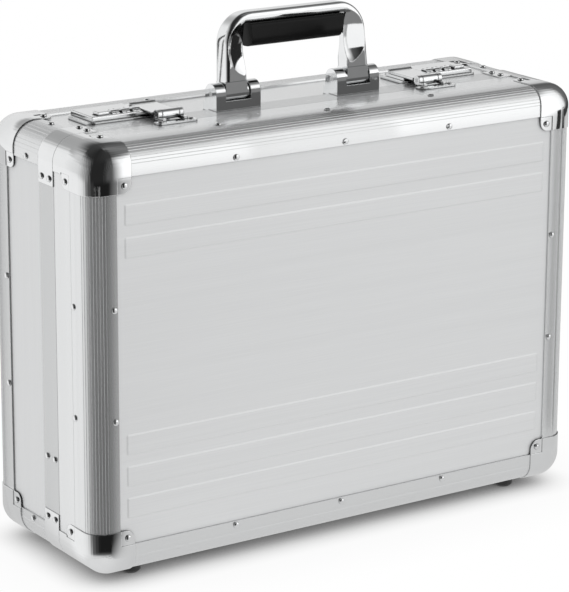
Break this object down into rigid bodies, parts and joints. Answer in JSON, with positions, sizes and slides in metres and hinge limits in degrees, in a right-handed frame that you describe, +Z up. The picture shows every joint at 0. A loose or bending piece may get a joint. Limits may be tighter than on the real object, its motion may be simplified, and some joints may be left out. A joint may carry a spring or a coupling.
{
  "type": "attache case",
  "caption": "Aluminium attache case on rubber feet, with ribbed edges, chrome corner caps, a folding handle, dial locks with hasps and a hinged lid on slotted stays.",
  "frame": {"origin": "on the floor, under the middle of the case", "axes": "+Z up, +X along the width, -Y towards the lid's face"},
  "size_m": [0.4652, 0.1616, 0.4217],
  "materials": {
    "panel_aluminium": "brushed satin",
    "edge_aluminium": "bright anodised",
    "chrome": "polished",
    "steel": "plated",
    "rubber": "matt",
    "grip": "satin",
    "dial": "nickel plated",
    "lining": "flocked cloth"
  },
  "bodies": {
    "base": {"base_panel": "panel_aluminium", "base_wall_top": "panel_aluminium", "base_wall_bottom": "panel_aluminium", "base_wall_left": "panel_aluminium", "base_wall_right": "panel_aluminium", "base_edge_top": "edge_aluminium", "base_edge_bottom": "edge_aluminium", "base_edge_left": "edge_aluminium", "base_edge_right": "edge_aluminium", "base_corner_profiles": "edge_aluminium", "base_rim": "edge_aluminium", "base_rail_corners": "chrome", "base_corner_caps": "chrome", "base_lining": "lining", "base_rivets": "chrome", "base_feet": "rubber", "base_hinge_leaves": "steel", "hinge_pins": "steel", "handle_bracket_left": "chrome", "handle_bracket_right": "chrome", "handle_pins": "steel", "lock_plate_left": "chrome", "lock_plate_right": "chrome", "lock_cover_left": "chrome", "lock_cover_right": "chrome", "dial_axles": "steel", "base_stay_studs": "steel"},
    "lid": {"lid_panel": "panel_aluminium", "lid_edge_top": "edge_aluminium", "lid_edge_bottom": "edge_aluminium", "lid_edge_left": "edge_aluminium", "lid_edge_right": "edge_aluminium", "lid_rim": "edge_aluminium", "lid_corner_caps": "chrome", "lid_lining": "lining", "lid_rivets": "chrome", "lid_feet": "rubber", "lid_hinge_leaves": "steel", "hasp_plate_left": "chrome", "hasp_plate_right": "chrome", "hasp_pins": "steel", "lid_stay_pivots": "steel"},
    "handle": {"handle_frame": "chrome", "handle_grip": "grip"},
    "hasp_left": {"hasp_left": "chrome"},
    "dial_left_1": {"dial_left_1": "dial"},
    "dial_left_2": {"dial_left_2": "dial"},
    "dial_left_3": {"dial_left_3": "dial"},
    "lock_button_left": {"lock_button_left": "chrome"},
    "stay_left": {"stay_left": "steel"},
    "hasp_right": {"hasp_right": "chrome"},
    "dial_right_1": {"dial_right_1": "dial"},
    "dial_right_2": {"dial_right_2": "dial"},
    "dial_right_3": {"dial_right_3": "dial"},
    "lock_button_right": {"lock_button_right": "chrome"},
    "stay_right": {"stay_right": "steel"}
  },
  "joints": [
    {"name": "lid_hinge", "type": "hinge", "parent": "base", "child": "lid", "pos_m": [0, -0.0252, 0.005], "axis": [1, 0, 0], "range_deg": [0, 95]},
    {"name": "handle_fold", "type": "hinge", "parent": "base", "child": "handle", "pos_m": [0, -0.0055, 0.359], "axis": [-1, 0, 0], "range_deg": [-55, 83]},
    {"name": "hasp_left_lift", "type": "hinge", "parent": "lid", "child": "hasp_left", "pos_m": [-0.1241, -0.018, 0.3517], "axis": [1, 0, 0], "range_deg": [0, 110]},
    {"name": "dial_left_1_turn", "type": "hinge", "parent": "base", "child": "dial_left_1", "pos_m": [-0.1593, 0.006, 0.3503], "axis": [1, 0, 0], "continuous": true},
    {"name": "dial_left_2_turn", "type": "hinge", "parent": "base", "child": "dial_left_2", "pos_m": [-0.15, 0.006, 0.3503], "axis": [1, 0, 0], "continuous": true},
    {"name": "dial_left_3_turn", "type": "hinge", "parent": "base", "child": "dial_left_3", "pos_m": [-0.1407, 0.006, 0.3503], "axis": [1, 0, 0], "continuous": true},
    {"name": "lock_button_left_slide", "type": "slide", "parent": "base", "child": "lock_button_left", "axis": [-1, 0, 0], "range_m": [0, 0.004], "stiffness_N_per_m": 250, "springref_m": -0.002},
    {"name": "stay_left_swing", "type": "hinge", "parent": "lid", "child": "stay_left", "pos_m": [-0.21875, -0.03866, 0.05523], "axis": [1, 0, 0], "range_deg": [-48, 0]},
    {"name": "hasp_right_lift", "type": "hinge", "parent": "lid", "child": "hasp_right", "pos_m": [0.1241, -0.018, 0.3517], "axis": [1, 0, 0], "range_deg": [0, 110]},
    {"name": "dial_right_1_turn", "type": "hinge", "parent": "base", "child": "dial_right_1", "pos_m": [0.1407, 0.006, 0.3503], "axis": [1, 0, 0], "continuous": true},
    {"name": "dial_right_2_turn", "type": "hinge", "parent": "base", "child": "dial_right_2", "pos_m": [0.15, 0.006, 0.3503], "axis": [1, 0, 0], "continuous": true},
    {"name": "dial_right_3_turn", "type": "hinge", "parent": "base", "child": "dial_right_3", "pos_m": [0.1593, 0.006, 0.3503], "axis": [1, 0, 0], "continuous": true},
    {"name": "lock_button_right_slide", "type": "slide", "parent": "base", "child": "lock_button_right", "axis": [1, 0, 0], "range_m": [0, 0.004], "stiffness_N_per_m": 250, "springref_m": -0.002},
    {"name": "stay_right_swing", "type": "hinge", "parent": "lid", "child": "stay_right", "pos_m": [0.21875, -0.03866, 0.05523], "axis": [1, 0, 0], "range_deg": [-48, 0]}
  ],
  "couplings": [
    {"joint": "stay_left_swing", "follows": "lid_hinge", "ratio": -0.5},
    {"joint": "stay_right_swing", "follows": "lid_hinge", "ratio": -0.5}
  ]
}
